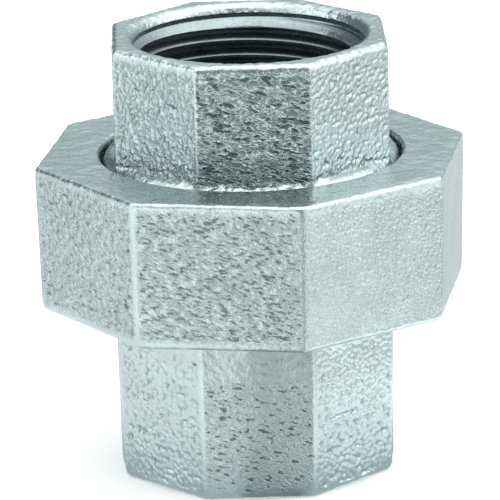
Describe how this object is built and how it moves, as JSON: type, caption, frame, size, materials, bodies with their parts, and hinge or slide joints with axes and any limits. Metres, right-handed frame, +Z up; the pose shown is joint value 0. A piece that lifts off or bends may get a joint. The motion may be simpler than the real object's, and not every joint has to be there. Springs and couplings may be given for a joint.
{
  "type": "pipe union",
  "caption": "Galvanised malleable iron pipe union: threaded octagonal ends joined on a flat gasket seat by a large octagonal nut.",
  "frame": {"origin": "centre of the lower rim, on the pipe axis, at the height where the fitting stands", "axes": "+Z up along the pipe axis from the lower casting to the upper one, -Y towards the front flats"},
  "size_m": [0.0502, 0.0502, 0.052],
  "materials": {
    "body_casting": "hot-dip galvanised, rough cast",
    "gasket": "matt flat ring",
    "tail_casting": "hot-dip galvanised, rough cast",
    "nut_casting": "hot-dip galvanised, rough cast"
  },
  "bodies": {
    "body": {"body_end": "body_casting", "gasket": "gasket"},
    "tail": {"tail_end": "tail_casting"},
    "nut": {"union_nut": "nut_casting"}
  },
  "joints": [
    {"name": "tail_lift", "type": "slide", "parent": "body", "child": "tail", "axis": [0, 0, 1], "range_m": [0, 0.00924]},
    {"name": "nut_spin", "type": "hinge", "parent": "tail", "child": "nut", "pos_m": [0, 0, 0.03], "axis": [0, 0, 1], "range_deg": [0, 1440]}
  ],
  "couplings": [
    {"joint": "tail_lift", "follows": "nut_spin", "m_per_rad": 0.0003675}
  ]
}
